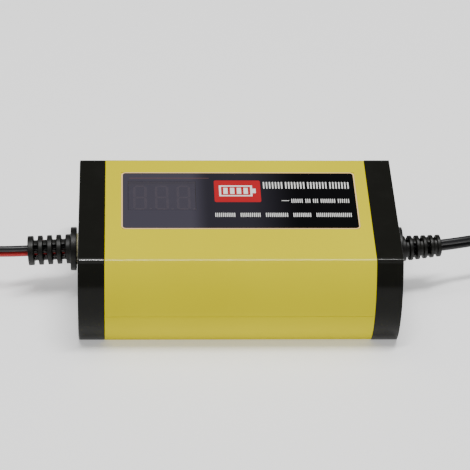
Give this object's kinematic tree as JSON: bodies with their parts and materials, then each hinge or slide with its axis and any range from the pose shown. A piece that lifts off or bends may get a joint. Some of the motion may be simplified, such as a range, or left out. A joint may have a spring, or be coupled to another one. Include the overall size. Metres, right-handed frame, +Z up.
{
  "type": "car battery charger",
  "caption": "Small rectangular car battery charger with a display, a casing between two end caps, a mains lead with a plug, and an output lead with two spring clips.",
  "frame": {"origin": "middle of the flat underside of the casing", "axes": "+X along the casing towards the mains lead, +Z up through the display, -Y towards the front"},
  "size_m": [0.3434, 0.07, 0.0351],
  "materials": {
    "casing_yellow": "smooth moulded, satin gloss",
    "cap_black": "smooth moulded, glossy",
    "screw_steel": "zinc plated",
    "label_film": "glossy printed film",
    "smoked_window": "smoked clear",
    "display_grey": "matte",
    "board_green": "solder mask",
    "ribbon_grey": "flat ribbon",
    "socket_ivory": "matte",
    "ferrite": "sintered, matte",
    "bobbin_black": "matte",
    "enamelled_copper": "enamelled wire",
    "capacitor_sleeve": "shrunk sleeve",
    "aluminium": "extruded",
    "epoxy_black": "moulded epoxy",
    "fuse_tan": "matte",
    "capacitor_yellow": "moulded box",
    "package_white": "moulded",
    "thermistor_green": "dipped",
    "rubber_black": "soft moulded, satin",
    "collar_cream": "matte",
    "lead_black": "satin",
    "lead_red": "satin",
    "tie_black": "matte",
    "plug_black": "fine texture",
    "pin_nickel": "nickel plated",
    "clip_steel": "nickel plated sheet",
    "grip_red": "soft moulded, glossy",
    "grip_black": "soft moulded, glossy"
  },
  "bodies": {
    "charger": {"upper_shell": "casing_yellow", "lower_shell": "casing_yellow", "dc_end_cap": "cap_black", "ac_end_cap": "cap_black", "end_cap_screws": "screw_steel", "label_overlay": "label_film", "display_lens": "smoked_window", "led_display": "display_grey", "display_board": "board_green", "display_ribbon": "ribbon_grey", "ribbon_socket": "socket_ivory", "main_board": "board_green", "board_screws": "screw_steel", "transformer_core": "ferrite", "transformer_bobbin": "bobbin_black", "transformer_winding": "enamelled_copper", "input_capacitor": "capacitor_sleeve", "output_capacitors": "capacitor_sleeve", "primary_heat_sink": "aluminium", "mosfet": "epoxy_black", "secondary_heat_sink": "aluminium", "rectifier_diode": "epoxy_black", "bridge_rectifier": "epoxy_black", "fuse": "fuse_tan", "choke_core": "ferrite", "choke_windings": "enamelled_copper", "x_capacitor": "capacitor_yellow", "controller_ic": "epoxy_black", "optocoupler": "package_white", "thermistor": "thermistor_green", "mains_inner_wires": "lead_black", "output_inner_wires": "lead_red", "dc_strain_relief": "rubber_black", "ac_strain_relief": "rubber_black", "gland_collars": "collar_cream", "dc_lead_run": "lead_black", "dc_lead_coil": "lead_black", "dc_lead_end": "lead_black", "dc_lead_tie": "tie_black", "dc_split_sleeve": "rubber_black", "red_tail": "lead_red", "black_tail": "lead_black", "ac_lead_run": "lead_black", "ac_lead_coil": "lead_black", "ac_lead_tie": "tie_black", "ac_lead_tail": "lead_black", "plug_body": "plug_black", "plug_pins": "pin_nickel", "red_fixed_jaw": "clip_steel", "red_fixed_grip": "grip_red", "red_pin": "screw_steel", "red_spring": "clip_steel", "black_fixed_jaw": "clip_steel", "black_fixed_grip": "grip_black", "black_pin": "screw_steel", "black_spring": "clip_steel"},
    "red_clip_arm": {"red_moving_jaw": "clip_steel", "red_moving_grip": "grip_red"},
    "black_clip_arm": {"black_moving_jaw": "clip_steel", "black_moving_grip": "grip_black"}
  },
  "joints": [
    {"name": "red_clip_hinge", "type": "hinge", "parent": "charger", "child": "red_clip_arm", "pos_m": [-0.133, 0.013, 0.0165], "axis": [0, 0, 1], "range_deg": [0, 20], "stiffness_Nm_per_rad": 0.3, "springref_deg": -28.65, "deforming": ["red_spring"]},
    {"name": "black_clip_hinge", "type": "hinge", "parent": "charger", "child": "black_clip_arm", "pos_m": [-0.133, -0.013, 0.0165], "axis": [0, 0, -1], "range_deg": [0, 20], "stiffness_Nm_per_rad": 0.3, "springref_deg": -28.65, "deforming": ["black_spring"]}
  ]
}
